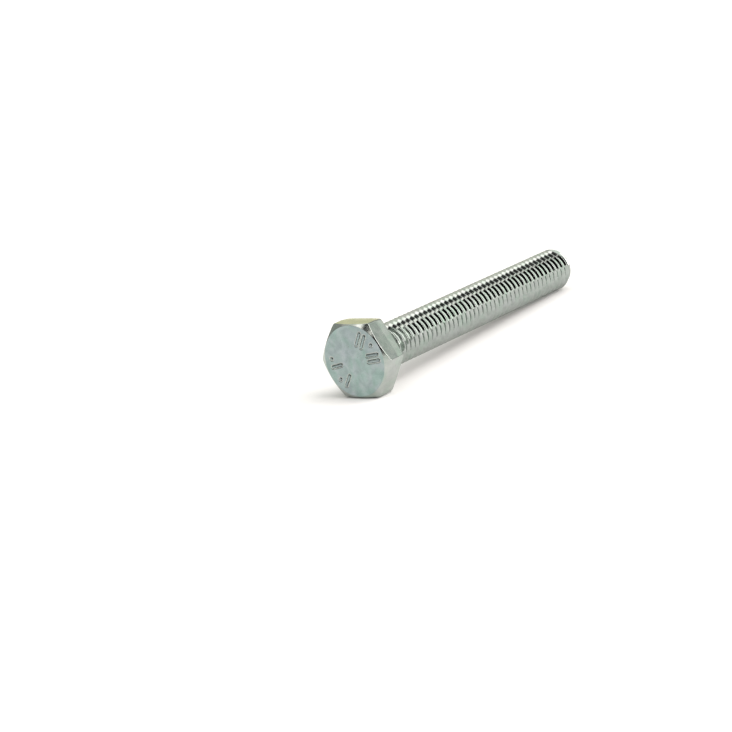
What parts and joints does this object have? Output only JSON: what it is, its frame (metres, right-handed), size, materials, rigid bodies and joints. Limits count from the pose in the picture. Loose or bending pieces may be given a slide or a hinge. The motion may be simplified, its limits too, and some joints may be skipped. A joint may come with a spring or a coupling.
{
  "type": "hex bolt",
  "caption": "Fully threaded metric hex bolt with a chamfered head, a washer face, a run-out neck and a chamfered tip, in bright zinc-plated steel.",
  "frame": {"origin": "on the bolt's axis, at the bearing face under the head", "axes": "+X along the bolt's axis from the head to the tip, +Z square to the flat of the hexagon that faces up, +Y through a corner of the hexagon"},
  "size_m": [0.0489, 0.0114, 0.0098],
  "materials": {
    "zinc_plated_steel": "bright clear zinc plating, slightly mottled, on forged and thread-rolled steel"
  },
  "bodies": {
    "root": {"hex_bolt": "zinc_plated_steel"}
  },
  "joints": []
}
